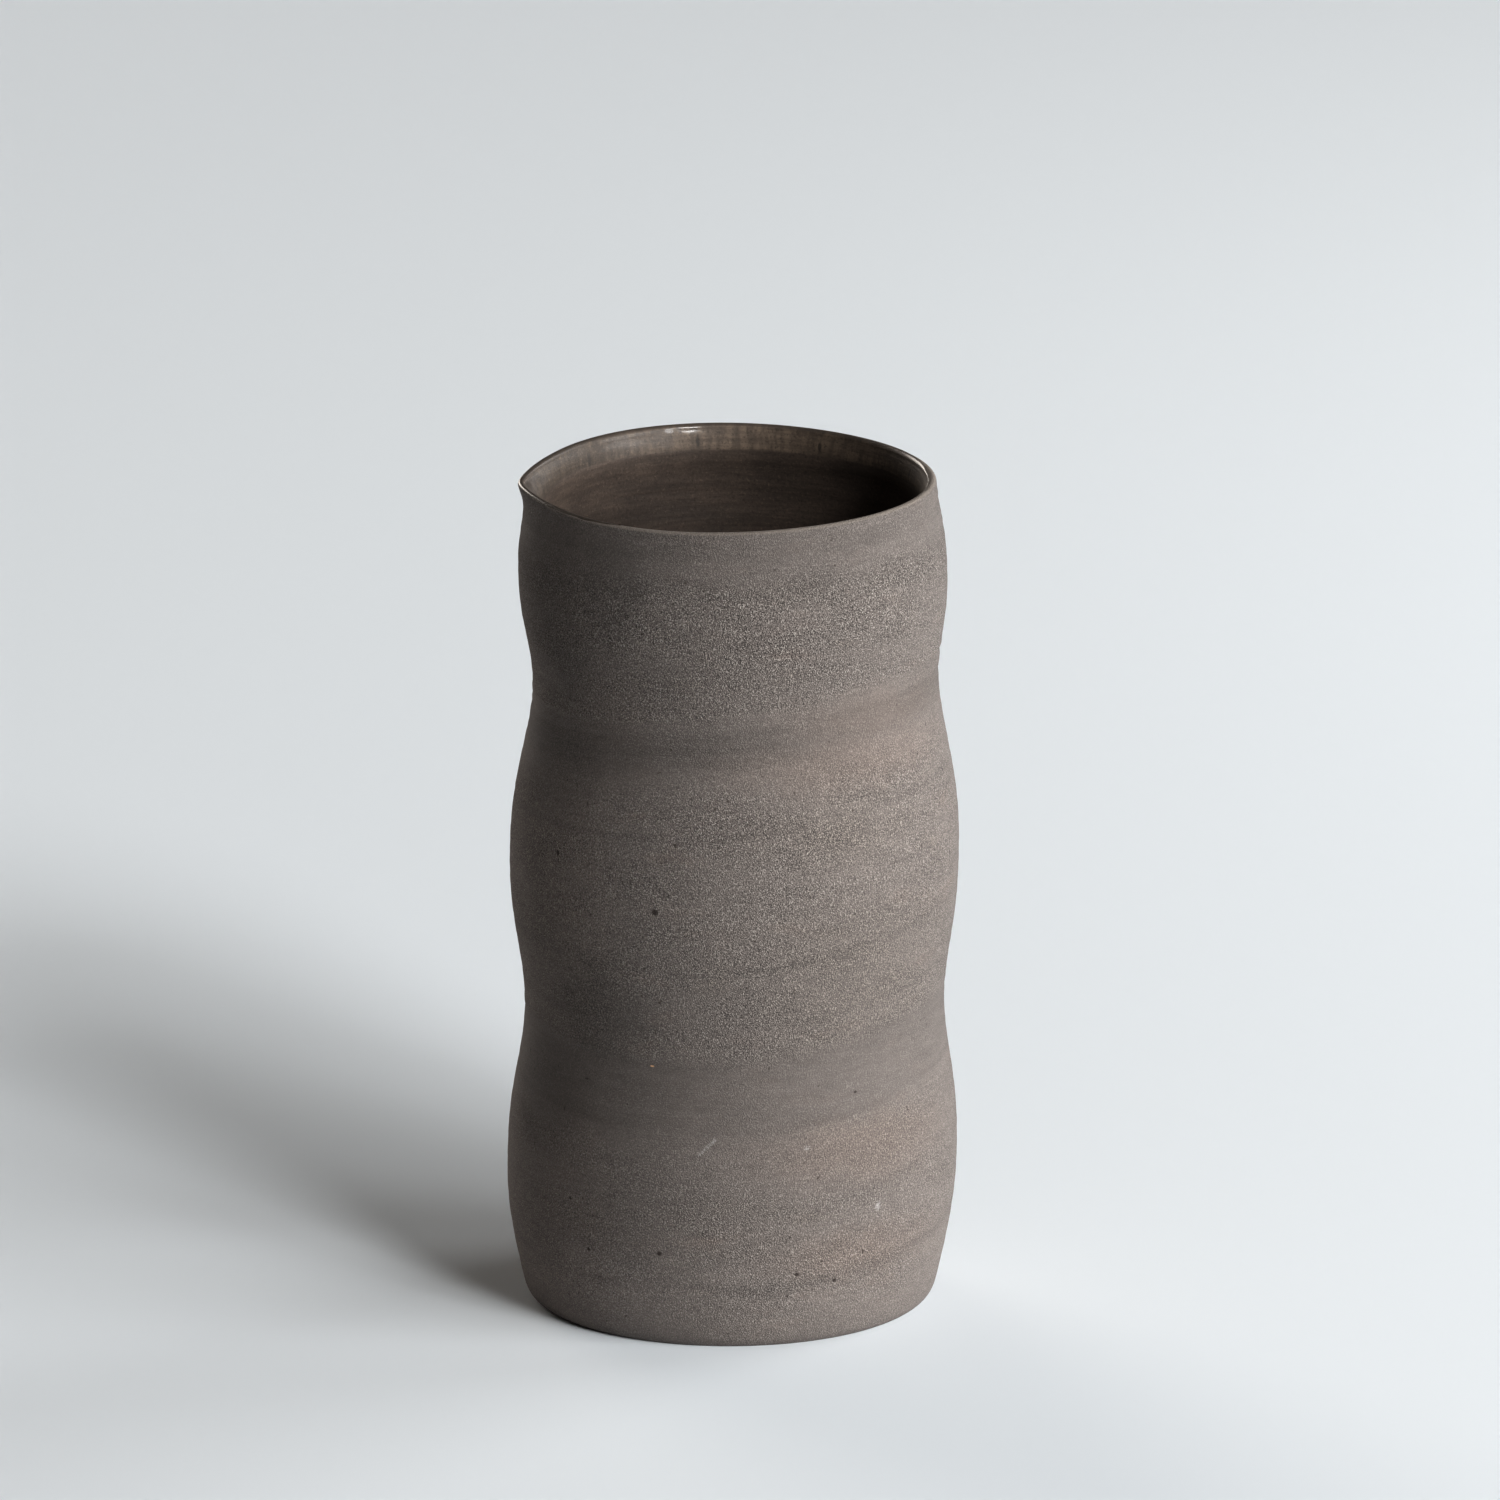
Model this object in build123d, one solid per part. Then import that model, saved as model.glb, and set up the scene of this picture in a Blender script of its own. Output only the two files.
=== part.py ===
from build123d import *

# Wheel-thrown stoneware vase: one fired clay body, and the thin coat of glaze that lines it.
#
# Millimetres, +Z up. The vase stands on Z = 0, and the origin is at the middle of the bottom of its box.
# Angles are in radians about the vase's axis, from +X towards +Y. The pulled-out corner of the mouth points
# almost along -X.
#
# The surfaces are lofts through closed rings. A ring has a radius and a height at every angle, so it can be
# out of round and rise and fall, as a hand-thrown wall does. The clay and the glaze share the rings between
# them, so that they touch face to face.

import os
from math import cos, exp, hypot, pi, radians, sin

# ---- Outside of the clay ----
HEIGHT = 225.0  # mean height of the rim
WAIST_RADIUS = 52.4  # radius where no swell reaches
SWELL_SQUARENESS = 2.5  # 2 is a bell curve, more has a flatter crown and steeper flanks
# Each swell of the wall: how far it stands out, the height of its middle, its half height, how much higher
# its middle is on the +X side, and the share by which it stands out more on the -X side.
LOWER_SWELL = (7.6, 39.6, 36.0, 0.9, 0.05)
MIDDLE_SWELL = (7.4, 122.9, 36.3, 1.4, 0.08)
UPPER_SWELL = (4.4, 199.4, 21.5, 0.3, 0.10)
FOOT_ROUNDING = 2.3  # how far the wall turns in at the foot
FOOT_ROUNDING_HEIGHT = 1.4
LEAN = 0.75  # how far the mouth stands to +X of the foot
BOW = 1.1  # how far the axis bows to +X between them

# ---- Mouth ----
RIM_TILT = 1.05  # the rim rises this much on its high side and falls as much opposite
RIM_TILT_ANGLE = radians(77)
RIM_WAVE = 0.75  # the rim also rises and falls twice round
RIM_WAVE_ANGLE = radians(-32)
WAVE_DEPTH = 55.0  # the unevenness in height dies out this far below the rim
RIM_FLARE = 0.4  # the edge of the rim turns out this much
RIM_FLARE_HEIGHT = 3.0
MOUTH_OVAL = 0.3  # the mouth's radius is this much longer along X and shorter along Y
MOUTH_LOBES = 0.95  # and it is out of round three times
MOUTH_LOBES_ANGLE = radians(-35.5)
MOUTH_FADE = 25.0  # height over which the out-of-round shape dies out
CORNER_ANGLE = radians(184)
CORNER_REACH = 2.9  # how far the corner of the mouth is pulled out
CORNER_HALF_WIDTH = radians(30)
CORNER_BLUNTNESS = radians(3)
CORNER_DEPTH = 5.5
CORNER_DIP = 0.2

# ---- Wall, floor and foot ----
RIM_THICKNESS = 2.4
CORNER_THINNING = 0.9  # the corner is this much thinner than the rest of the rim
BEVEL_THICKENING = 2.0  # inside, the wall leans out to the rim over the bevel's height
BEVEL_HEIGHT = 5.5
BEVEL_SHARPNESS = 6  # of the edge at the bevel's foot
LOW_THICKENING = 1.2  # the wall grows this much thicker again towards the floor
FLOOR_THICKNESS = 7.0
FLOOR_CORNER = 14.0  # radius between the floor and the wall inside
FOOT_RING_WIDTH = 8.0
FOOT_RECESS_DEPTH = 1.2
FOOT_RECESS_SLOPE = 3.0

# ---- Glaze ----
GLAZE_THICKNESS = 0.35

# ---- Rings ----
HALF_RING_STEPS = 24
OUTSIDE_STEPS = 34  # steps between rings up the outside
INSIDE_STEPS = 30
RIM_STEPS = 8  # over the half-round rim
FLOOR_CORNER_STEPS = 6
CROWDING = 0.85  # how much closer the rings lie near the ends of a wall


def swell(size, angle, height):
    """How far one swell stands out at this place on the wall."""
    reach, middle, half_height, higher, fuller = size
    away = abs(height - middle - higher * cos(angle)) / half_height
    return reach * (1 - fuller * cos(angle)) * exp(-(away**SWELL_SQUARENESS))


def corner_share(angle):
    """1 at the tip of the mouth's corner, falling to 0 at the ends of its flanks."""
    away = (angle - CORNER_ANGLE + pi) % (2 * pi) - pi
    blunt = hypot(away, CORNER_BLUNTNESS) - CORNER_BLUNTNESS
    return max(0, 1 - blunt / CORNER_HALF_WIDTH) ** 2


def outer_radius(angle, height):
    """Radius of the outside of the clay."""
    below_rim = max(HEIGHT - height, 0)
    swells = sum(swell(size, angle, height) for size in (LOWER_SWELL, MIDDLE_SWELL, UPPER_SWELL))
    foot = FOOT_ROUNDING * exp(-height / FOOT_ROUNDING_HEIGHT)
    lobes = MOUTH_OVAL * cos(2 * angle) + MOUTH_LOBES * cos(3 * (angle - MOUTH_LOBES_ANGLE))
    corner = CORNER_REACH * corner_share(angle) * exp(-((below_rim / CORNER_DEPTH) ** 1.5))
    flare = RIM_FLARE * exp(-below_rim / RIM_FLARE_HEIGHT)
    return WAIST_RADIUS + swells - foot + lobes * exp(-below_rim / MOUTH_FADE) + corner + flare


def rim_thickness(angle):
    """Thickness of the clay where the half-round rim begins."""
    return RIM_THICKNESS - CORNER_THINNING * corner_share(angle)


def rim_start(angle):
    """Height where the half-round rim begins, outside and inside."""
    return HEIGHT - rim_thickness(angle) / 2


def inner_radius(angle, height):
    """Radius of the inside of the clay wall."""
    below = max(rim_start(angle) - height, 0)
    down = below / BEVEL_HEIGHT
    bevel = BEVEL_THICKENING * down / (1 + down**BEVEL_SHARPNESS) ** (1 / BEVEL_SHARPNESS)
    low = LOW_THICKENING * below / HEIGHT
    corner = CORNER_THINNING * corner_share(angle) * (1 - exp(-below / CORNER_DEPTH))
    return outer_radius(angle, height) - rim_thickness(angle) - bevel - low - corner


def rim_rise(angle):
    """How far the rim stands above its mean height."""
    tilt = RIM_TILT * cos(angle - RIM_TILT_ANGLE)
    wave = RIM_WAVE * cos(2 * (angle - RIM_WAVE_ANGLE))
    return tilt + wave - CORNER_DIP * corner_share(angle)


def place(angle, radius, height):
    """The point at this angle and radius, at what would be this height if the rim were level."""
    axis_x = LEAN * height / HEIGHT + BOW * sin(pi * height / HEIGHT)
    near_rim = max(0, 1 - (HEIGHT - height) / WAVE_DEPTH)
    rise = rim_rise(angle) * near_rim**2
    return Vector(axis_x + radius * cos(angle), radius * sin(angle), height + rise)


def ring(radius_at, height_at):
    """A closed ring of two half turns. Both arguments are functions of the angle."""
    step = pi / HALF_RING_STEPS

    def point(angle):
        return place(angle, radius_at(angle), height_at(angle))

    def tangent(angle):
        return point(angle + step / 2) - point(angle - step / 2)

    halves = []
    for start in (0, pi):
        angles = [start + step * count for count in range(HALF_RING_STEPS + 1)]
        ends = [tangent(angles[0]), tangent(angles[-1])]
        # Every half has the same parameters, so that a surface through them needs no extra knots.
        spots = list(range(HALF_RING_STEPS + 1))
        half = Edge.make_spline([point(a) for a in angles], tangents=ends, parameters=spots, scale=False)
        halves.append(half)
    return Wire(halves)


def crowded(steps):
    """Shares from 0 to 1 that lie closer together near both ends."""
    shares = [step / steps for step in range(steps + 1)]
    return [share - CROWDING * sin(2 * pi * share) / (2 * pi) for share in shares]


def outside_rings():
    """Rings up the outside of the clay, from the foot to the rim."""

    def outside_ring(share):
        def height_at(angle):
            return share * rim_start(angle)

        return ring(lambda angle: outer_radius(angle, height_at(angle)), height_at)

    return [outside_ring(share) for share in crowded(OUTSIDE_STEPS)]


def rim_rings():
    """Rings over the half-round rim, from its outside to its inside."""

    def rim_ring(turn):
        def radius_at(angle):
            half = rim_thickness(angle) / 2
            return outer_radius(angle, rim_start(angle)) - half + half * cos(turn)

        def height_at(angle):
            return rim_start(angle) + rim_thickness(angle) / 2 * sin(turn)

        return ring(radius_at, height_at)

    return [rim_ring(pi * step / RIM_STEPS) for step in range(RIM_STEPS + 1)]


def inside_rings(coat):
    """Rings down the inside, from the rim to the edge of the flat floor, off the clay by the coat."""
    arc_top = FLOOR_THICKNESS + FLOOR_CORNER
    arc_radius = FLOOR_CORNER - coat

    def wall_ring(share):
        def height_at(angle):
            return rim_start(angle) + share * (arc_top - rim_start(angle))

        return ring(lambda angle: inner_radius(angle, height_at(angle)) - coat, height_at)

    def corner_ring(turn):
        def radius_at(angle):
            return inner_radius(angle, arc_top) - coat - arc_radius * (1 - cos(turn))

        return ring(radius_at, lambda angle: arc_top - arc_radius * sin(turn))

    wall = [wall_ring(share) for share in crowded(INSIDE_STEPS)]
    turns = [pi / 2 * step / FLOOR_CORNER_STEPS for step in range(1, FLOOR_CORNER_STEPS + 1)]
    return wall + [corner_ring(turn) for turn in turns]


def closed_solid(*surfaces):
    """The solid that these faces and shells enclose."""
    return Solid(Shell([face for surface in surfaces for face in surface.faces()]))


def make_stoneware_body(outside, rim, inside):
    """The clay: up the outside, over the rim, down the inside and across the floor, with a hollow foot."""
    foot, floor = Face(outside[0]), Face(inside[-1])
    thrown = closed_solid(foot, Shell.make_loft(outside), Shell.make_loft(rim), Shell.make_loft(inside), floor)
    recess_radius = WAIST_RADIUS - FOOT_RING_WIDTH
    recess_top = recess_radius - FOOT_RECESS_SLOPE
    at_foot = (Align.CENTER, Align.CENTER, Align.MIN)
    return thrown - Cone(recess_radius, recess_top, FOOT_RECESS_DEPTH, align=at_foot)


def make_liner_glaze(inside, coated):
    """The glaze: a thin coat on the floor and the inside of the wall, up to the rim."""
    floor, top = Face(inside[-1]), Face(coated[-1])
    edge = Shell.make_loft([inside[0], coated[0]], ruled=True)
    return closed_solid(floor, Shell.make_loft(inside), edge, Shell.make_loft(coated), top)


rim = rim_rings()
outside = outside_rings()[:-1] + rim[:1]
inside = rim[-1:] + inside_rings(coat=0)[1:]
coated = inside_rings(coat=GLAZE_THICKNESS)
body = make_stoneware_body(outside, rim, inside)
glaze = make_liner_glaze(inside, coated)

middle = body.bounding_box().center()
to_origin = Location((-middle.X, -middle.Y, 0))

os.makedirs("parts", exist_ok=True)
export_step(body.moved(to_origin), "parts/stoneware_body.step")
export_step(glaze.moved(to_origin), "parts/liner_glaze.step")
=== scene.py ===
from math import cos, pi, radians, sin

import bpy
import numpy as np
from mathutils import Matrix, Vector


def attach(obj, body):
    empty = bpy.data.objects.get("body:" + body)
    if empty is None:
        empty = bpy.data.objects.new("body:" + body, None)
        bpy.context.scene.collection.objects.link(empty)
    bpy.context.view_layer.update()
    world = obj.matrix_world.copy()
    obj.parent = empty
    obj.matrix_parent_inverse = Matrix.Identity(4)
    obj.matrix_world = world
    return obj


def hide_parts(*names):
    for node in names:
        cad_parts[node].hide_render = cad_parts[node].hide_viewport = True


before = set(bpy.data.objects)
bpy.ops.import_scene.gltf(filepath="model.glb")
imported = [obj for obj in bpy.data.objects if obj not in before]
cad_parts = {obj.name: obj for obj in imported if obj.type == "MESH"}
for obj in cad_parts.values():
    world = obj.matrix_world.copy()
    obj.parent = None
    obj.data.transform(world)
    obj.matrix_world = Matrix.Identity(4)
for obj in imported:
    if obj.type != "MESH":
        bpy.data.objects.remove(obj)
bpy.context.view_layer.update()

# Looks of the wheel-thrown stoneware vase: a raw, sandy clay body and the satin glaze that lines it.
#
# The shape is worked out in millimetres with the CAD model's own formula, and make_mesh makes it metres.
# On top of it come the marks of the throwing, which are too fine for the CAD solids. Angles are in radians
# about the vase's axis, from +X towards +Y.

MM = 0.001

# ---- Shape, as in the CAD model, in millimetres ----
HEIGHT = 225.0
WAIST_RADIUS = 52.4
SWELL_SQUARENESS = 2.5
# Reach, height of the middle, half height, how much higher on the +X side, share fuller on the -X side.
SWELLS = (
    (7.6, 39.6, 36.0, 0.9, 0.05),
    (7.4, 122.9, 36.3, 1.4, 0.08),
    (4.4, 199.4, 21.5, 0.3, 0.10),
)
FOOT_ROUNDING = 2.3
FOOT_ROUNDING_HEIGHT = 1.4
LEAN = 0.75
BOW = 1.1
RIM_TILT = 1.05
RIM_TILT_ANGLE = radians(77)
RIM_WAVE = 0.75
RIM_WAVE_ANGLE = radians(-32)
WAVE_DEPTH = 55.0
RIM_FLARE = 0.4
RIM_FLARE_HEIGHT = 3.0
MOUTH_OVAL = 0.3
MOUTH_LOBES = 0.95
MOUTH_LOBES_ANGLE = radians(-35.5)
MOUTH_FADE = 25.0
CORNER_ANGLE = radians(184)
CORNER_REACH = 2.9
CORNER_HALF_WIDTH = radians(30)
CORNER_BLUNTNESS = radians(3)
CORNER_DEPTH = 5.5
CORNER_DIP = 0.2
RIM_THICKNESS = 2.4
CORNER_THINNING = 0.9
BEVEL_THICKENING = 2.0
BEVEL_HEIGHT = 5.5
BEVEL_SHARPNESS = 6
LOW_THICKENING = 1.2
FLOOR_THICKNESS = 7.0
FLOOR_CORNER = 14.0
FOOT_RING_WIDTH = 8.0
FOOT_RECESS_DEPTH = 1.2
FOOT_RECESS_SLOPE = 3.0
GLAZE_THICKNESS = 0.35

# ---- Glaze on the rim: where it runs over the rim, and at which turn of the half-round it ends ----
GLAZED_RIM_MIDDLE = radians(128)
GLAZED_RIM_HALF_WIDTH = radians(108)
GLAZED_EDGE_TURN = radians(35)
RAW_EDGE_TURN = radians(150)
RIM_GLAZE_THICKNESS = 0.09
GLAZED_RIM_SOFTNESS = 0.12  # radians
GLAZE_EDGE_SOFTNESS = 0.3  # radians

# ---- Throwing marks, in millimetres ----
# A mark's level is its height above the foot once the slope of the throwing lines is taken out.
UPPER_LINE = 174.5
MIDDLE_LINE = 120.0
LOWER_LINE = 78.5
# The throwing lines rise to the +X side, evenly and with a bow. Between two heights the even rise grows
# and the bow fades, and both die out towards the foot and the rim.
LINE_RISE = 3
LINE_RISE_GROWTH = 4
LINE_BOW = 7
LINE_CHANGE_START = 77
LINE_CHANGE_END = 175
LINE_FADE_AT_FOOT = 30
LINE_FADE_AT_RIM = 35
# Fine tool lines: level, half width and depth.
TOOL_LINES = ((17, 1.0, 0.08), (60, 0.8, 0.05), (88, 0.8, 0.05), (105, 0.9, 0.05), (142, 0.8, 0.07),
              (162, 1.3, 0.05), (165, 0.8, 0.09), (168, 1.1, 0.07), (172, 0.9, 0.04), (218, 1.1, 0.05))

# ---- Fineness of the meshes ----
POINTS_ROUND = 360
OUTSIDE_ROWS = 236
INSIDE_ROWS = 110
RIM_STEPS = 10
RIM_GLAZE_STEPS = 16
FLOOR_CORNER_STEPS = 8
HIDDEN_ROWS = 14  # on the faces between the clay and the glaze
HOLLOW_STEPS = 8  # over the hollow of the foot

# ---- View and stage, in metres and degrees ----
CAMERA_AIM = (0.0046, 0.0, 0.1498)
CAMERA_DISTANCE = 5.41
CAMERA_PITCH = 15.7
CAMERA_LENS = 488.0
FLOOR_SIZE = 60.0
WARM = (1.0, 0.92, 0.84)  # light that comes back from the room
ROOM_LIGHT = 0.045
SUN_TARGET = (0, 0, 0.11)
SUN_DISTANCE = 4
PANEL_TARGET = (0, 0, 0.1)
DISPLAY_GAMMA = 0.85

ANGLES = np.linspace(0, 2 * pi, POINTS_ROUND, endpoint=False)


# ======== Shape ========


def corner_share(angle):
    away = (angle - CORNER_ANGLE + pi) % (2 * pi) - pi
    blunt = np.hypot(away, CORNER_BLUNTNESS) - CORNER_BLUNTNESS
    return np.maximum(0, 1 - blunt / CORNER_HALF_WIDTH) ** 2


def outer_radius(angle, height):
    below_rim = np.maximum(HEIGHT - height, 0)
    radius = WAIST_RADIUS - FOOT_ROUNDING * np.exp(-height / FOOT_ROUNDING_HEIGHT)
    for reach, middle, half_height, higher, fuller in SWELLS:
        away = np.abs(height - middle - higher * np.cos(angle)) / half_height
        radius = radius + reach * (1 - fuller * np.cos(angle)) * np.exp(-(away**SWELL_SQUARENESS))
    lobes = MOUTH_OVAL * np.cos(2 * angle) + MOUTH_LOBES * np.cos(3 * (angle - MOUTH_LOBES_ANGLE))
    corner = CORNER_REACH * corner_share(angle) * np.exp(-((below_rim / CORNER_DEPTH) ** 1.5))
    flare = RIM_FLARE * np.exp(-below_rim / RIM_FLARE_HEIGHT)
    return radius + lobes * np.exp(-below_rim / MOUTH_FADE) + corner + flare


def rim_thickness(angle):
    return RIM_THICKNESS - CORNER_THINNING * corner_share(angle)


def rim_start(angle):
    return HEIGHT - rim_thickness(angle) / 2


def inner_radius(angle, height):
    below = np.maximum(rim_start(angle) - height, 0)
    down = below / BEVEL_HEIGHT
    bevel = BEVEL_THICKENING * down / (1 + down**BEVEL_SHARPNESS) ** (1 / BEVEL_SHARPNESS)
    low = LOW_THICKENING * below / HEIGHT
    corner = CORNER_THINNING * corner_share(angle) * (1 - np.exp(-below / CORNER_DEPTH))
    return outer_radius(angle, height) - rim_thickness(angle) - bevel - low - corner


def rim_rise(angle):
    tilt = RIM_TILT * np.cos(angle - RIM_TILT_ANGLE)
    wave = RIM_WAVE * np.cos(2 * (angle - RIM_WAVE_ANGLE))
    return tilt + wave - CORNER_DIP * corner_share(angle)


def place(angle, radius, height):
    """Points at these angles and radii, at what would be these heights if the rim were level."""
    axis_x = LEAN * height / HEIGHT + BOW * np.sin(pi * height / HEIGHT)
    near_rim = np.maximum(0, 1 - (HEIGHT - height) / WAVE_DEPTH)
    rise = rim_rise(angle) * near_rim**2
    return np.stack([axis_x + radius * np.cos(angle), radius * np.sin(angle), height + rise], axis=-1)


def find_middle():
    """The middle in X and Y of the plain outside, which the CAD model puts on the origin."""
    height = np.linspace(0, HEIGHT, 600)[:, None] * np.ones_like(ANGLES)
    points = place(ANGLES, outer_radius(ANGLES, height), height).reshape(-1, 3)
    middle = (points.min(axis=0) + points.max(axis=0)) / 2
    return np.array([middle[0], middle[1], 0])


MIDDLE = find_middle()


# ======== Marks of the throwing, as small changes of radius ========


def level_line(height, level, width):
    """1 on a level line round the wall, falling to 0 over its width."""
    return np.exp(-(((height - level) / width) ** 2))


def line_slope(across, height):
    """How far the throwing lines have risen, with across 1 on the +X side and -1 on the -X side."""
    up = np.clip((height - LINE_CHANGE_START) / (LINE_CHANGE_END - LINE_CHANGE_START), 0, 1)
    ends = np.clip(height / LINE_FADE_AT_FOOT, 0, 1)
    ends = ends * np.clip((HEIGHT - height) / LINE_FADE_AT_RIM, 0, 1)
    rise = across * (LINE_RISE + LINE_RISE_GROWTH * up)
    return (rise + LINE_BOW * across**2 * (1 - up)) * ends


def outside_marks(angle, height):
    """How far the throwing marks stand out from the plain outside, in millimetres."""
    wander = 0.3 * np.sin(angle + 0.7) + 0.2 * np.sin(2 * angle + 2.1)
    level = height - line_slope(np.cos(angle), height) + wander
    ridges = 0.045 * np.sin(2 * pi * level / 7.3 + angle)
    ridges = ridges + 0.035 * np.sin(2 * pi * level / 4.7 + angle + 1.3 + 0.6 * np.sin(3 * angle))
    ridges = ridges + 0.03 * np.sin(2 * pi * level / 3.1 + 2 * angle + 0.4)
    in_fingers_band = np.exp(-(((level - 166) / 8) ** 4)) + 0.7 * np.exp(-(((level - 217) / 8) ** 4))
    ridges = ridges * (0.45 + 1.0 * in_fingers_band)
    dents = 0.10 * np.sin(2 * angle + height / 31) * np.sin(height / 23 + 1)
    dents = dents + 0.07 * np.sin(5 * angle - height / 17 + 0.5) * np.sin(height / 13)
    dents = dents + 0.05 * np.sin(9 * angle + height / 9) * np.sin(height / 11 + 2)
    lines = 0.14 * level_line(level, UPPER_LINE, 0.8) - 0.12 * level_line(level, UPPER_LINE - 2.1, 1.0)
    lines = lines + 0.06 * level_line(level, MIDDLE_LINE, 0.8)
    lines = lines + 0.10 * level_line(level, LOWER_LINE, 0.8)
    lines = lines - 0.10 * level_line(level, LOWER_LINE - 2.2, 1.3)
    for at, half_width, depth in TOOL_LINES:
        lines = lines - depth * level_line(level, at, half_width)
    ends = (1 - np.exp(-((height / 5) ** 2))) * (1 - np.exp(-(((HEIGHT - height) / 4) ** 2)))
    return (ridges + dents + lines) * ends


def inside_marks(angle, height):
    """The same for the inside, where the fingers left a slow spiral."""
    turn = height / 8.5
    spiral = 0.11 * np.sin(2 * pi * turn + angle + 0.5 * np.sin(2 * angle))
    spiral = spiral + 0.05 * np.sin(2 * pi * turn * 2.3 + 2 * angle)
    ends = np.clip((height - 20) / 12, 0, 1) * (1 - np.exp(-(((HEIGHT - height) / 9) ** 2)))
    return spiral * ends


# ======== Meshes ========


def dense_rows(low, high, count, levels):
    """Heights from low to high that lie closer together near the given levels: (level, width, times)."""
    fine = np.linspace(low, high, 4000)
    density = np.ones_like(fine)
    for level, width, times in levels:
        density = density + times * np.exp(-(((fine - level) / width) ** 2))
    total = np.concatenate([[0], np.cumsum((density[1:] + density[:-1]) / 2)])
    return np.interp(np.linspace(0, total[-1], count), total, fine)


def flat_ring(radius, height):
    """A level ring about the vase's axis."""
    return place(ANGLES, np.full_like(ANGLES, radius), np.full_like(ANGLES, height))


def make_mesh(name, rings, material, close_start=False, close_end=False):
    """A mesh through closed rings of points, in order, each end closed with a fan if asked."""
    points = (np.concatenate(rings) - MIDDLE) * MM
    count = len(rings)
    here = np.arange(POINTS_ROUND)
    beside = (here + 1) % POINTS_ROUND
    faces = []
    for row in range(count - 1):
        low, high = row * POINTS_ROUND, (row + 1) * POINTS_ROUND
        quads = np.stack([low + here, low + beside, high + beside, high + here], axis=1)
        faces.extend(quads.tolist())
    for closed, row, flip in ((close_start, 0, True), (close_end, count - 1, False)):
        if closed:
            first = row * POINTS_ROUND
            centre = points[first : first + POINTS_ROUND].mean(axis=0)
            points = np.vstack([points, centre])
            hub = len(points) - 1
            fan = [(first + a, first + b, hub) for a, b in zip(here.tolist(), beside.tolist())]
            faces.extend([face[::-1] for face in fan] if flip else fan)
    mesh = bpy.data.meshes.new(name)
    mesh.from_pydata(points.tolist(), [], faces)
    mesh.update()
    mesh.shade_smooth()
    mesh.materials.append(material)
    piece = bpy.data.objects.new(name, mesh)
    bpy.context.scene.collection.objects.link(piece)
    return piece


def outside_rings():
    """Rings up the outside of the clay, with its throwing marks."""
    levels = [
        (0, 3, 5), (HEIGHT, 5, 3),
        (UPPER_LINE - 1, 2.5, 2.5), (MIDDLE_LINE, 2, 1.5), (LOWER_LINE - 1, 2.5, 2),
    ]
    rings = []
    for share in dense_rows(0, HEIGHT, OUTSIDE_ROWS, levels) / HEIGHT:
        height = share * rim_start(ANGLES)
        radius = outer_radius(ANGLES, height) + outside_marks(ANGLES, height)
        rings.append(place(ANGLES, radius, height))
    return rings


def rim_ring(turn, off=0.0):
    """A ring on the half-round rim, off the clay by this much. A turn of 0 is outside and pi inside."""
    half = rim_thickness(ANGLES) / 2
    middle = outer_radius(ANGLES, rim_start(ANGLES)) - half
    return place(ANGLES, middle + (half + off) * cos(turn), rim_start(ANGLES) + (half + off) * sin(turn))


def rim_rings():
    """Rings over the rim, from its outside to its inside, without those two."""
    return [rim_ring(pi * step / RIM_STEPS) for step in range(1, RIM_STEPS)]


def rim_glaze(turn):
    """How thick the glaze is at this turn of the rim, below 0 where it stops short and lies in the clay.

    It runs over the rim at the back and the left, and ends inside it at the front right.
    """
    away = (ANGLES - GLAZED_RIM_MIDDLE + pi) % (2 * pi) - pi
    glazed = 1 / (1 + np.exp((np.abs(away) - GLAZED_RIM_HALF_WIDTH) / GLAZED_RIM_SOFTNESS))
    edge = RAW_EDGE_TURN + (GLAZED_EDGE_TURN - RAW_EDGE_TURN) * glazed
    edge = edge + 0.10 * np.sin(7 * ANGLES + 1) + 0.07 * np.sin(17 * ANGLES)
    edge = edge + 0.04 * np.sin(41 * ANGLES + 2)
    return RIM_GLAZE_THICKNESS * np.tanh((turn - edge) / GLAZE_EDGE_SOFTNESS)


def inside_rings(rows, coat, marks, rim_coat=None):
    """Rings down the inside, from the rim to the edge of the flat floor, off the clay by the coat."""
    arc_top = FLOOR_THICKNESS + FLOOR_CORNER
    rim_coat = coat if rim_coat is None else rim_coat
    rings = []
    for below in dense_rows(0, HEIGHT - arc_top, rows, [(0, 4, 3), (BEVEL_HEIGHT, 3, 3)]):
        share = below / (HEIGHT - arc_top)
        height = rim_start(ANGLES) + share * (arc_top - rim_start(ANGLES))
        thickness = coat + (rim_coat - coat) * np.exp(-below / 1.2)
        radius = inner_radius(ANGLES, height) - thickness + marks * inside_marks(ANGLES, height)
        rings.append(place(ANGLES, radius, height))
    arc_radius = FLOOR_CORNER - coat
    for step in range(1, FLOOR_CORNER_STEPS + 1):
        turn = pi / 2 * step / FLOOR_CORNER_STEPS
        radius = inner_radius(ANGLES, arc_top) - coat - arc_radius * (1 - cos(turn))
        rings.append(place(ANGLES, radius, np.full_like(ANGLES, arc_top - arc_radius * sin(turn))))
    return rings


def foot_rings():
    """Rings of the turned foot, from the middle of its hollow out to the foot ring's inner edge."""
    recess = WAIST_RADIUS - FOOT_RING_WIDTH
    top = recess - FOOT_RECESS_SLOPE
    rings = []
    for step in range(1, HOLLOW_STEPS + 1):
        radius = top * step / HOLLOW_STEPS
        cut = 0.12 * sin(3.1 * step)
        rings.append(flat_ring(radius, FOOT_RECESS_DEPTH + cut * (step < HOLLOW_STEPS)))
    rings.append(flat_ring(recess, 0.12))
    rings.append(flat_ring(recess + 0.5, 0))
    return rings


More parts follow.
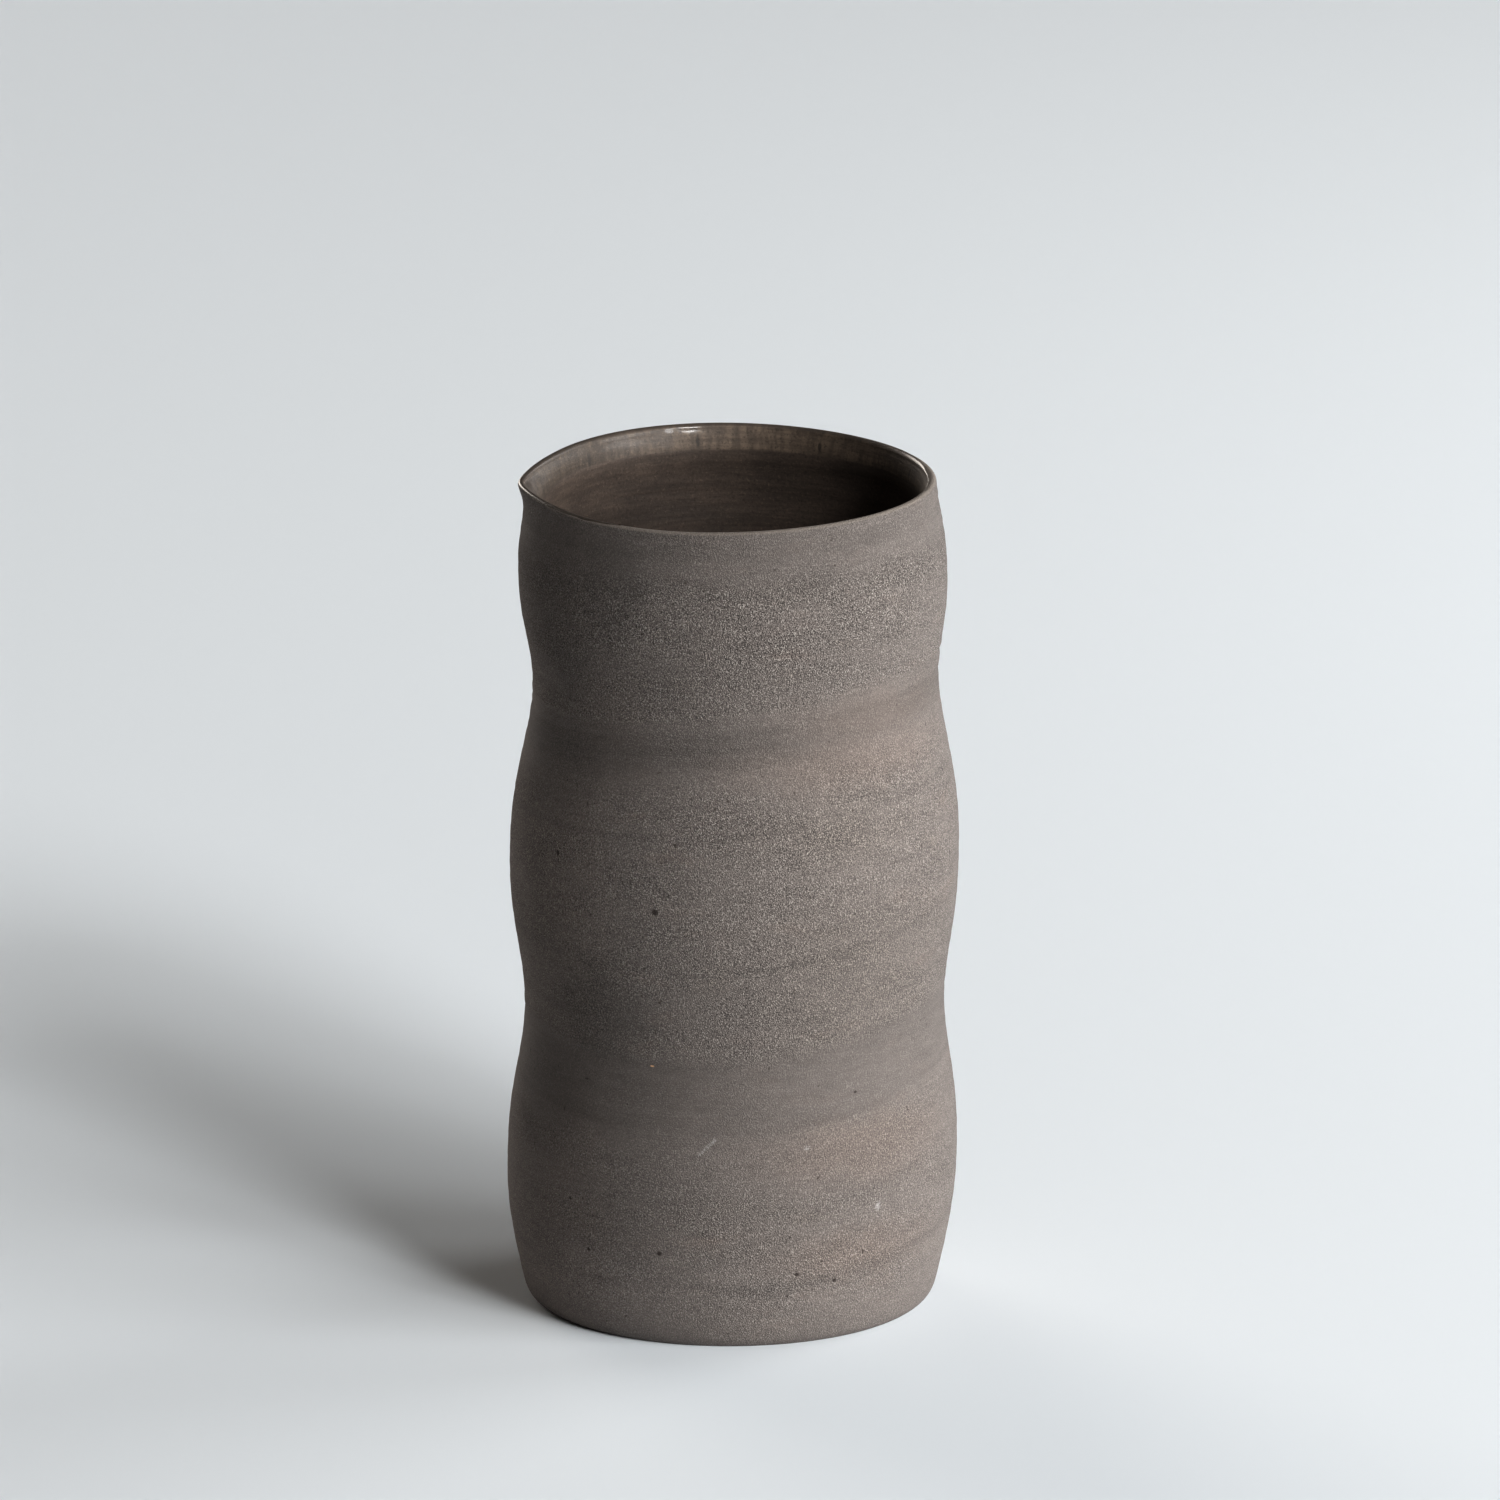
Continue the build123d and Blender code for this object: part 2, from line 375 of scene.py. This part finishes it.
def make_stoneware_body(material):
    """The clay: its foot, outside and rim in full detail, and its inside, which the glaze covers."""
    inside = inside_rings(HIDDEN_ROWS, coat=-0.15, marks=0)[1:]
    rings = foot_rings() + outside_rings() + rim_rings() + inside
    return make_mesh("stoneware_body_clay", rings, material, close_start=True, close_end=True)


def make_liner_glaze(material):
    """The glaze: its face in full detail, and its back, which lies on the clay."""
    back = inside_rings(HIDDEN_ROWS, coat=-0.1, marks=0)[::-1]
    turns = [pi * step / RIM_GLAZE_STEPS for step in range(1, RIM_GLAZE_STEPS)]
    over_rim = [rim_ring(turn, rim_glaze(turn)) for turn in turns]
    face = inside_rings(INSIDE_ROWS, coat=GLAZE_THICKNESS, marks=1, rim_coat=rim_glaze(pi))
    return make_mesh("liner_glaze_coat", back + over_rim + face, material, close_start=True, close_end=True)


# ======== Materials ========


class Nodes:
    """Builds one material's nodes. Every method returns an output socket."""

    def __init__(self, name):
        self.material = bpy.data.materials.new(name)
        self.material.use_nodes = True
        self.tree = self.material.node_tree
        self.shader = self.tree.nodes["Principled BSDF"]

    def add(self, kind, inputs, output=0, **settings):
        node = self.tree.nodes.new(kind)
        for key, value in settings.items():
            setattr(node, key, value)
        for key, value in inputs.items():
            if isinstance(value, bpy.types.NodeSocket):
                self.tree.links.new(value, node.inputs[key])
            else:
                node.inputs[key].default_value = value
        return node.outputs[output]

    def math(self, operation, first, second=0.0):
        return self.add("ShaderNodeMath", {0: first, 1: second}, operation=operation)

    def ramp(self, value, low, high, at_low=0.0, at_high=1.0):
        """Smoothly from at_low to at_high as the value goes from low to high."""
        inputs = {"Value": value, "From Min": low, "From Max": high, "To Min": at_low, "To Max": at_high}
        return self.add("ShaderNodeMapRange", inputs, interpolation_type="SMOOTHSTEP")

    def line(self, level, at, half_width):
        """1 at one level, falling to 0 at the half width on either side."""
        away = self.math("ABSOLUTE", self.math("SUBTRACT", level, at))
        return self.ramp(away, 0.0, half_width, 1.0, 0.0)

    def profile(self, level, stops):
        """A share that changes smoothly between stops of (level in millimetres, share)."""
        node = self.tree.nodes.new("ShaderNodeValToRGB")
        node.color_ramp.interpolation = "EASE"
        ramp = node.color_ramp.elements
        while len(ramp) < len(stops):
            ramp.new(1.0)
        for stop, (at, share) in zip(ramp, stops):
            stop.position = at / PROFILE_TOP
            stop.color = (share, share, share, 1)
        self.tree.links.new(self.math("DIVIDE", level, PROFILE_TOP), node.inputs[0])
        return node.outputs["Color"]

    def straight(self, value, low, high):
        """From 0 to 1 in a straight line as the value goes from low to high, and level beyond them."""
        return self.add("ShaderNodeMapRange", {"Value": value, "From Min": low, "From Max": high})

    def scaled(self, vector, by):
        return self.add("ShaderNodeVectorMath", {0: vector, 1: by}, operation="MULTIPLY")

    def noise(self, vector, size, detail=2.0, roughness=0.5):
        """Noise from 0 to 1 with features of about this size, in the vector's units."""
        inputs = {"Vector": vector, "Scale": 1 / size, "Detail": detail, "Roughness": roughness}
        return self.add("ShaderNodeTexNoise", inputs)

    def mix(self, share, first, second):
        """The first colour where the share is 0 and the second where it is 1."""
        node = self.tree.nodes.new("ShaderNodeMix")
        node.data_type = "RGBA"
        for socket, value in ((node.inputs[0], share), (node.inputs[6], first), (node.inputs[7], second)):
            if isinstance(value, bpy.types.NodeSocket):
                self.tree.links.new(value, socket)
            else:
                socket.default_value = value
        return node.outputs[2]

    def place_mm(self):
        """The place in the part's frame, in millimetres."""
        here = self.tree.nodes.new("ShaderNodeTexCoord").outputs["Object"]
        return self.scaled(here, (1000, 1000, 1000))

    def parts(self, vector):
        """The X, Y and Z of a vector."""
        node = self.tree.nodes.new("ShaderNodeSeparateXYZ")
        self.tree.links.new(vector, node.inputs[0])
        return node.outputs

    def facing_up(self):
        """How far the surface faces up, from -1 to 1."""
        normal = self.tree.nodes.new("ShaderNodeTexCoord").outputs["Normal"]
        return self.parts(normal)[2]

    def times(self, tone, factor):
        """A colour made lighter or darker."""
        node = self.tree.nodes.new("ShaderNodeVectorMath")
        node.operation = "SCALE"
        self.tree.links.new(tone, node.inputs[0])
        self.tree.links.new(factor, node.inputs["Scale"])
        return node.outputs[0]

    def ragged(self, place, size, by):
        """The place, shifted a little from point to point, so that edges drawn there are ragged."""
        shift = self.add("ShaderNodeTexNoise", {"Vector": place, "Scale": 1 / size}, output="Color")
        shift = self.add("ShaderNodeVectorMath", {0: shift, 1: (0.5, 0.5, 0.5)}, operation="SUBTRACT")
        shift = self.scaled(shift, (by, by, by))
        return self.add("ShaderNodeVectorMath", {0: place, 1: shift}, operation="ADD")

    def spots(self, place, centres, soft):
        """1 in the middle of each spot and 0 outside. A spot is (point, half width, half height).

        The edge takes a share of the spot's size.
        """
        total = None
        for centre, wide, high in centres:
            away = self.add("ShaderNodeVectorMath", {0: place, 1: centre}, operation="SUBTRACT")
            away = self.scaled(away, (1 / wide, 1 / wide, 1 / high))
            away = self.add("ShaderNodeVectorMath", {0: away}, output="Value", operation="LENGTH")
            spot = self.ramp(away, 1 - soft, 1 + soft, 1.0, 0.0)
            total = spot if total is None else self.math("MAXIMUM", total, spot)
        return total

    def drive(self, name, value):
        socket = self.shader.inputs[name]
        if isinstance(value, bpy.types.NodeSocket):
            self.tree.links.new(value, socket)
        else:
            socket.default_value = value

    def bump(self, *layers):
        """Layers of (height in millimetres, strength) one after another."""
        normal = None
        for height, strength in layers:
            inputs = {"Height": height, "Strength": strength, "Distance": MM}
            if normal is not None:
                inputs["Normal"] = normal
            normal = self.add("ShaderNodeBump", inputs)
        return normal


def on_wall(spots):
    """Spots on the outside of the wall: degrees right of the front, height, half width, half height."""
    found = []
    for front_angle, height, wide, high in spots:
        angle = radians(front_angle - 90)
        point = place(angle, outer_radius(angle, height), height) - MIDDLE
        found.append((tuple(float(value) for value in point), wide, high))
    return found


# The larger iron specks: degrees right of the front, height, half width and half height in millimetres.
# Smaller ones are scattered by noise.
IRON_SPECKS = (
    (-21, 121, 0.95, 0.9), (-52, 132, 0.6, 0.7), (-19, 27, 0.65, 0.6), (17, 21, 0.6, 0.5),
    (28, 18, 0.55, 0.5), (-40, 25, 0.5, 0.5), (-46, 38, 0.5, 0.4), (34, 69, 0.5, 0.4),
)
# A short pale scratch that rises to the right, and two smudges.
SCRATCH_START = (-9, 55)
SCRATCH_END = (-5, 59)
SCRATCH_DABS = 7
SCRATCH_DAB = (0.45, 0.4)
SMUDGES = ((19, 56, 0.8, 0.6), (40, 37, 0.8, 1.1))
# An orange-brown nick.
NICKS = ((-23, 77.5, 0.5, 0.25),)
# Where the clay is browner or yellower, and patches of painted shade and painted light on it.
BROWN_PATCHES = ((45, 170, 25, 7), (35, 160, 30, 7), (36, 54, 26, 8), (35, 25, 22, 6), (-58, 170, 22, 40))
YELLOW_PATCHES = ((30, 142, 18, 9), (36, 100, 26, 18), (-60, 100, 24, 30))
# Painted shade: the flanks of the swells on the shaded -X side, darkened in the colour.
PAINTED_SHADE_PATCHES = (
    (-63, 155, 18, 13), (-62, 62, 18, 13), (-62, 198, 22, 24), (-37, 206, 11, 14), (-38, 90, 14, 12),
)
# Painted light: light from the floor on the low -X side of the wall, near the foot.
PAINTED_LIGHT_PATCHES = ((-42, 11, 22, 12),)
# How sandy the wall is, by level: smoother at the foot, in the two waists and under the rim.
SANDINESS = (
    (0, 0.4), (20, 0.7), (50, 0.6), (60, 0.35), (76, 0.3), (82, 0.75), (140, 0.85), (162, 0.45),
    (172, 0.45), (176, 0.95), (205, 1.0), (216, 0.5),
)
# How light the clay is, by level: darker where it is smoother.
LIGHTNESS = (
    (0, 0.5), (14, 0.58), (40, 0.53), (54, 0.53), (64, 0.45), (76, 0.43), (84, 0.52), (140, 0.57),
    (152, 0.55), (166, 0.45), (175, 0.53), (203, 0.53), (212, 0.46), (220, 0.43),
)
LIGHTNESS_SCALE = 1.75
PROFILE_TOP = 230  # the level at the top of both profiles, in millimetres
WALL_RADIUS = 57  # about where the outside is, in millimetres
LEVEL_WANDER = 3.0  # how far the levels wander in all, in millimetres
LINE_SHADING = 1.8  # how much a tool line darkens the clay for each millimetre of its depth
LINE_SHADING_WIDTH = 2.6  # the half width of that darkening, in half widths of the line
PATCH_STRENGTH = 0.2  # how much a dark or pale patch changes the lightness

# Colours.
GREY_CLAY = (0.135, 0.116, 0.1055, 1)
BROWN_CLAY = (0.145, 0.116, 0.101, 1)
GREY_SAND = (0.39, 0.358, 0.327, 1)
BROWN_SAND = (0.405, 0.35, 0.308, 1)
YELLOW_SAND = (0.42, 0.362, 0.293, 1)
DARK_GRAIN = (0.03, 0.027, 0.025, 1)
SCUFF = (0.40, 0.39, 0.38, 1)
LARGE_SPECK = (0.022, 0.015, 0.012, 1)
SMALL_SPECK = (0.03, 0.021, 0.017, 1)
NICK = (0.62, 0.36, 0.20, 1)
PALE_RIM_TOP = (0.30, 0.26, 0.22, 1)
DARK_GLAZE = (0.058, 0.044, 0.036, 1)
PALE_GLAZE = (0.083, 0.062, 0.049, 1)
DARK_RUN_BEVEL_PAINTED_LIGHT = (0.078, 0.059, 0.045, 1)
PALE_RUN_BEVEL_PAINTED_LIGHT = (0.118, 0.089, 0.066, 1)
GLAZED_DARK_GRAIN = (0.025, 0.019, 0.016, 1)
GLAZED_SAND = (0.20, 0.15, 0.11, 1)
THICK_GLAZE = (0.03, 0.024, 0.02, 1)
GLAZED_EDGE = (0.062, 0.053, 0.048, 1)
PALE_FLOOR = (0.742, 0.78, 0.808, 1)


def scratch():
    """The scratch as a row of dabs, each given as the specks are."""
    dabs = []
    for step in range(SCRATCH_DABS):
        share = step / (SCRATCH_DABS - 1)
        front_angle, height = (a + share * (b - a) for a, b in zip(SCRATCH_START, SCRATCH_END))
        dabs.append((front_angle, height, *SCRATCH_DAB))
    return dabs


def level_of(nodes, here):
    """The level of the throwing lines at each place, as in line_slope."""
    across, _, height = nodes.parts(here)
    across = nodes.math("DIVIDE", across, WALL_RADIUS)
    up = nodes.straight(height, LINE_CHANGE_START, LINE_CHANGE_END)
    low_end = nodes.straight(height, 0, LINE_FADE_AT_FOOT)
    high_end = nodes.straight(height, HEIGHT, HEIGHT - LINE_FADE_AT_RIM)
    ends = nodes.math("MULTIPLY", low_end, high_end)
    growth = nodes.math("MULTIPLY", up, LINE_RISE_GROWTH)
    climb = nodes.math("MULTIPLY", across, nodes.math("ADD", LINE_RISE, growth))
    fade = nodes.math("SUBTRACT", LINE_BOW, nodes.math("MULTIPLY", up, LINE_BOW))
    bow = nodes.math("MULTIPLY", nodes.math("MULTIPLY", across, across), fade)
    slope = nodes.math("MULTIPLY", nodes.math("ADD", climb, bow), ends)
    wander = nodes.math("MULTIPLY", nodes.noise(here, 30, 2), LEVEL_WANDER)
    wander = nodes.math("SUBTRACT", wander, LEVEL_WANDER / 2)
    return nodes.math("ADD", nodes.math("SUBTRACT", height, slope), wander)


def clay_material():
    """Raw fired stoneware: grey-brown, sandy, and smoother where a rib or a thumb went over it."""
    nodes = Nodes("raw_stoneware")
    here = nodes.place_mm()
    level = level_of(nodes, here)
    blurred = nodes.ragged(here, 9, 9)

    sandy = nodes.profile(level, SANDINESS)
    patchy = nodes.ramp(nodes.noise(nodes.scaled(here, (1, 1, 2.5)), 24, 3), 0.3, 0.7, 0.75, 1.2)
    sandy = nodes.math("MULTIPLY", sandy, patchy)

    grain = nodes.noise(here, 0.37, 1, 0.6)
    streaks = nodes.noise(nodes.scaled(here, (0.05, 0.05, 1.2)), 1.0, 3, 0.6)
    bands = nodes.noise(nodes.scaled(here, (0.06, 0.06, 0.4)), 1.0, 3, 0.6)
    mottle = nodes.noise(nodes.scaled(here, (1, 1, 1.8)), 4.5, 3, 0.6)

    # Hue: grey-brown, browner and yellower in patches drawn out along the throwing lines.
    drawn_out = nodes.noise(nodes.scaled(here, (0.045, 0.045, 0.13)), 1.0, 3, 0.55)
    brown = nodes.spots(blurred, on_wall(BROWN_PATCHES), 0.8)
    brown = nodes.math("MULTIPLY", brown, 0.65)
    brown = nodes.math("MAXIMUM", brown, nodes.ramp(drawn_out, 0.55, 0.85, 0.0, 0.7))
    # Browner towards -X: partly the clay's own hue and partly painted warm shade, the room's warm light on
    # the shaded side.
    brown = nodes.math("MAXIMUM", brown, nodes.ramp(nodes.parts(blurred)[0], -24, -52, 0.0, 0.9))
    yellow = nodes.spots(blurred, on_wall(YELLOW_PATCHES), 0.8)
    yellow = nodes.math("MULTIPLY", yellow, 0.5)
    yellow = nodes.math("MAXIMUM", yellow, nodes.ramp(drawn_out, 0.42, 0.2, 0.0, 0.7))
    tone = nodes.mix(brown, GREY_CLAY, BROWN_CLAY)
    sand = nodes.mix(brown, GREY_SAND, BROWN_SAND)
    sand = nodes.mix(yellow, sand, YELLOW_SAND)

    dark = nodes.math("MULTIPLY", nodes.ramp(grain, 0.47, 0.33), nodes.math("MULTIPLY", sandy, 0.8))
    tone = nodes.mix(dark, tone, DARK_GRAIN)
    pale = nodes.math("MULTIPLY", nodes.ramp(grain, 0.54, 0.68), nodes.math("MULTIPLY", sandy, 0.66))
    tone = nodes.mix(pale, tone, sand)

    # Lightness: by level, in thin drawn-out bands, with painted shade in the tool lines' grooves and in the
    # dark patches, and painted light in the pale patch.
    light = nodes.math("MULTIPLY", nodes.profile(level, LIGHTNESS), LIGHTNESS_SCALE)
    light = nodes.math("MULTIPLY", light, nodes.ramp(bands, 0.25, 0.75, 0.955, 1.045))
    light = nodes.math("MULTIPLY", light, nodes.ramp(streaks, 0.25, 0.75, 0.96, 1.04))
    light = nodes.math("MULTIPLY", light, nodes.ramp(mottle, 0.3, 0.7, 0.955, 1.045))
    broken = nodes.ramp(nodes.noise(nodes.scaled(here, (1, 1, 0.3)), 28, 2), 0.35, 0.6, 0.2, 1.0)
    # Painted shade in the grooves of the tool lines, darker for deeper lines.
    for at, half_width, depth in TOOL_LINES:
        strength = nodes.math("MULTIPLY", broken, LINE_SHADING * depth)
        shade = nodes.math("MULTIPLY", nodes.line(level, at, LINE_SHADING_WIDTH * half_width), strength)
        light = nodes.math("MULTIPLY", light, nodes.math("SUBTRACT", 1, shade))
    # Painted shade in the dark patches.
    painted_shade = nodes.math("MULTIPLY", nodes.spots(blurred, on_wall(PAINTED_SHADE_PATCHES), 0.5), PATCH_STRENGTH)
    light = nodes.math("MULTIPLY", light, nodes.math("SUBTRACT", 1, painted_shade))
    # Painted light in the pale patch near the foot.
    painted_light = nodes.math("MULTIPLY", nodes.spots(blurred, on_wall(PAINTED_LIGHT_PATCHES), 0.5), PATCH_STRENGTH)
    light = nodes.math("MULTIPLY", light, nodes.math("ADD", 1, painted_light))
    tone = nodes.times(tone, light)

    near = nodes.ragged(here, 0.6, 0.5)
    scuffs = nodes.spots(near, on_wall([*scratch(), *SMUDGES]), 0.6)
    scuffs = nodes.math("MULTIPLY", scuffs, nodes.ramp(grain, 0.3, 0.7, 0.05, 0.5))
    tone = nodes.mix(scuffs, tone, SCUFF)
    iron = nodes.spots(near, on_wall(IRON_SPECKS), 0.45)
    tone = nodes.mix(nodes.math("MULTIPLY", iron, 0.9), tone, LARGE_SPECK)
    nicks = nodes.spots(near, on_wall(NICKS), 0.6)
    tone = nodes.mix(nodes.math("MULTIPLY", nicks, 0.8), tone, NICK)
    # A scatter of smaller iron specks all round.
    flecks = nodes.math("MULTIPLY", nodes.ramp(nodes.noise(here, 1.3, 0), 0.83, 0.87), 0.7)
    tone = nodes.mix(flecks, tone, SMALL_SPECK)
    # The up-facing top of the rim is made paler.
    near_rim = nodes.ramp(nodes.parts(here)[2], 215, 219)
    rim = nodes.math("MULTIPLY", nodes.ramp(nodes.facing_up(), 0.35, 0.8), near_rim)
    tone = nodes.mix(nodes.math("MULTIPLY", rim, 0.35), tone, PALE_RIM_TOP)

    nodes.drive("Base Color", tone)
    nodes.drive("Roughness", nodes.math("ADD", 0.72, nodes.math("MULTIPLY", sandy, 0.2)))
    nodes.drive("Specular IOR Level", 0.35)
    rough = nodes.math("MULTIPLY", nodes.math("SUBTRACT", grain, 0.5), nodes.math("MULTIPLY", sandy, 0.7))
    lines = nodes.math("MULTIPLY", streaks, 0.10)
    nodes.drive("Normal", nodes.bump((lines, 0.8), (rough, 1.0)))
    return nodes.material


def on_bevel_at(spots):
    """Spots on the bevel inside the rim, given by angle in degrees, height, half width and half height."""
    found = []
    for turned, height, wide, high in spots:
        angle = radians(turned)
        point = place(angle, inner_radius(angle, height) - GLAZE_THICKNESS, height) - MIDDLE
        found.append((tuple(float(value) for value in point), wide, high))
    return found


# On the bevel: dark runs of thicker glaze, and spots where it shines.
DRIPS = ((101, 221, 0.5, 2.6), (141, 220.5, 0.6, 2.2), (63, 221, 0.5, 2.0), (20, 221, 0.5, 2.0))
WET_SPOTS = ((103.5, 224.2, 3.2, 1.0), (109.5, 224.0, 1.4, 0.7), (187.0, 223.6, 2.2, 1.0))


def glaze_material():
    """Clear satin glaze over the same clay, which it darkens, with painted light on the bevel and dark on
    the rim.
    """
    nodes = Nodes("liner_glaze")
    here = nodes.place_mm()
    clouds = nodes.noise(nodes.scaled(here, (1, 1, 2)), 16, 3, 0.6)
    grain = nodes.noise(here, 0.7, 2, 0.65)
    streaks = nodes.noise(nodes.scaled(here, (0.08, 0.08, 0.9)), 1.0, 3, 0.6)
    runs = nodes.noise(nodes.scaled(here, (0.5, 0.5, 0.05)), 1.0, 2, 0.5)
    cloudy = nodes.ramp(clouds, 0.3, 0.7)
    tone = nodes.mix(cloudy, DARK_GLAZE, PALE_GLAZE)
    near_rim = nodes.ramp(nodes.parts(here)[2], 208, 214)
    up = nodes.facing_up()
    # Painted light: the up-facing bevel under the rim is made paler, as light from above falls on it, with
    # runs of glaze across it.
    bevel = nodes.math("MULTIPLY", nodes.ramp(up, 0.0, 0.09), near_rim)
    on_bevel = nodes.mix(nodes.ramp(runs, 0.35, 0.65), DARK_RUN_BEVEL_PAINTED_LIGHT, PALE_RUN_BEVEL_PAINTED_LIGHT)
    # Painted light and shade: the bevel is made darker towards -X and lighter towards +X, the side the
    # light comes from.
    on_bevel = nodes.times(on_bevel, nodes.ramp(nodes.parts(here)[0], -48, 0, 0.55, 1.15))
    tone = nodes.mix(bevel, tone, on_bevel)
    dark = nodes.math("MULTIPLY", nodes.ramp(grain, 0.5, 0.25), 0.6)
    tone = nodes.mix(dark, tone, GLAZED_DARK_GRAIN)
    pale = nodes.math("MULTIPLY", nodes.ramp(grain, 0.56, 0.75), 0.35)
    tone = nodes.mix(pale, tone, GLAZED_SAND)
    streaky = nodes.math("MULTIPLY", nodes.ramp(streaks, 0.6, 0.4), 0.3)
    tone = nodes.mix(streaky, tone, THICK_GLAZE)
    edge = nodes.math("MULTIPLY", nodes.ramp(up, 0.45, 0.7), near_rim)
    tone = nodes.mix(nodes.math("MULTIPLY", edge, 0.5), tone, GLAZED_EDGE)
    near = nodes.ragged(here, 1.2, 0.6)
    drips = nodes.math("MULTIPLY", nodes.spots(near, on_bevel_at(DRIPS), 0.5), 0.85)
    tone = nodes.mix(drips, tone, THICK_GLAZE)
    nodes.drive("Base Color", tone)
    wet = nodes.math("MULTIPLY", nodes.spots(near, on_bevel_at(WET_SPOTS), 0.5), 1.4)
    wet = nodes.math("MAXIMUM", edge, wet)
    rough = nodes.math("ADD", 0.48, nodes.math("MULTIPLY", clouds, 0.22))
    nodes.drive("Roughness", nodes.math("SUBTRACT", rough, nodes.math("MULTIPLY", wet, 0.28)))
    nodes.drive("Specular IOR Level", 0.3)
    nodes.drive("Coat Weight", nodes.math("ADD", 0.05, nodes.math("MULTIPLY", wet, 0.25)))
    nodes.drive("Coat Roughness", 0.15)
    uneven = nodes.math("MULTIPLY", grain, 0.06)
    nodes.drive("Normal", nodes.bump((nodes.math("MULTIPLY", streaks, 0.12), 0.8), (uneven, 0.8)))
    return nodes.material


def floor_material():
    """Plain pale matt floor."""
    nodes = Nodes("pale_floor")
    nodes.drive("Base Color", PALE_FLOOR)
    nodes.drive("Roughness", 0.9)
    nodes.drive("Specular IOR Level", 0.2)
    return nodes.material


# ======== Stage, light and camera ========


def make_floor():
    half = FLOOR_SIZE / 2
    corners = [(-half, -half, 0), (half, -half, 0), (half, half, 0), (-half, half, 0)]
    mesh = bpy.data.meshes.new("floor")
    mesh.from_pydata(corners, [], [(0, 1, 2, 3)])
    mesh.materials.append(floor_material())
    floor = bpy.data.objects.new("floor", mesh)
    bpy.context.scene.collection.objects.link(floor)


def aim(thing, azimuth, elevation, distance, target):
    """Puts a light or camera at this angle right of the front and this elevation, facing the target."""
    turn, rise = radians(azimuth), radians(elevation)
    away = (sin(turn) * cos(rise), -cos(turn) * cos(rise), sin(rise))
    thing.location = [at + distance * part for at, part in zip(target, away)]
    thing.rotation_euler = (pi / 2 - rise, 0, turn)


def make_sun(name, azimuth, elevation, spread, strength, colour=(1, 1, 1)):
    """A soft light from far away. The spread is the angle that it fills, in degrees."""
    light = bpy.data.lights.new(name, "SUN")
    light.angle = radians(spread)
    light.energy = strength
    light.color = colour
    lamp = bpy.data.objects.new(name, light)
    bpy.context.scene.collection.objects.link(lamp)
    aim(lamp, azimuth, elevation, SUN_DISTANCE, SUN_TARGET)


def make_panel(name, location, size, power):
    """A soft light close by, which itself stays out of the picture."""
    light = bpy.data.lights.new(name, "AREA")
    light.shape = "RECTANGLE"
    light.size, light.size_y = size
    light.energy = power
    lamp = bpy.data.objects.new(name, light)
    bpy.context.scene.collection.objects.link(lamp)
    lamp.location = location
    towards = Vector(PANEL_TARGET) - Vector(location)
    lamp.rotation_euler = towards.to_track_quat("-Z", "Y").to_euler()
    lamp.visible_camera = False


def make_world():
    world = bpy.data.worlds.new("studio_air")
    world.use_nodes = True
    sky = world.node_tree.nodes["Background"]
    sky.inputs["Color"].default_value = (*WARM, 1)
    sky.inputs["Strength"].default_value = ROOM_LIGHT
    bpy.context.scene.world = world


def make_camera():
    camera = bpy.data.cameras.new("camera")
    camera.lens = CAMERA_LENS
    camera.sensor_width = 36
    camera.clip_end = 100
    viewer = bpy.data.objects.new("camera", camera)
    bpy.context.scene.collection.objects.link(viewer)
    aim(viewer, 0, CAMERA_PITCH, CAMERA_DISTANCE, CAMERA_AIM)
    bpy.context.scene.camera = viewer


# ======== The scene ========

body = make_stoneware_body(clay_material())
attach(body, "root")
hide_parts("stoneware_body")

glaze = make_liner_glaze(glaze_material())
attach(glaze, "root")
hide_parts("liner_glaze")

make_floor()
make_sun("key_window", 31, 29, 13, 1.53)
make_sun("key_window_side", 48, 22, 14, 0.51)
make_sun("key_window_top", 40, 37, 14, 0.585)
make_sun("low_window_near", 55, 5, 26, 1.69)
make_sun("low_window_far", 75, 5, 26, 3.73)
make_sun("far_wall", -152, 11, 34, 1.62, WARM)
make_panel("back_window", (1.4, 0.8, 0.5), (1.0, 0.8), 16.6)
make_panel("front_window", (1.6, -1.6, 1.5), (1.4, 1.2), 8.2)
make_panel("side_window", (0.8, -0.5, 0.3), (0.6, 0.4), 2.5)
make_world()
make_camera()
bpy.context.scene.view_settings.view_transform = "Standard"
bpy.context.scene.view_settings.gamma = DISPLAY_GAMMA
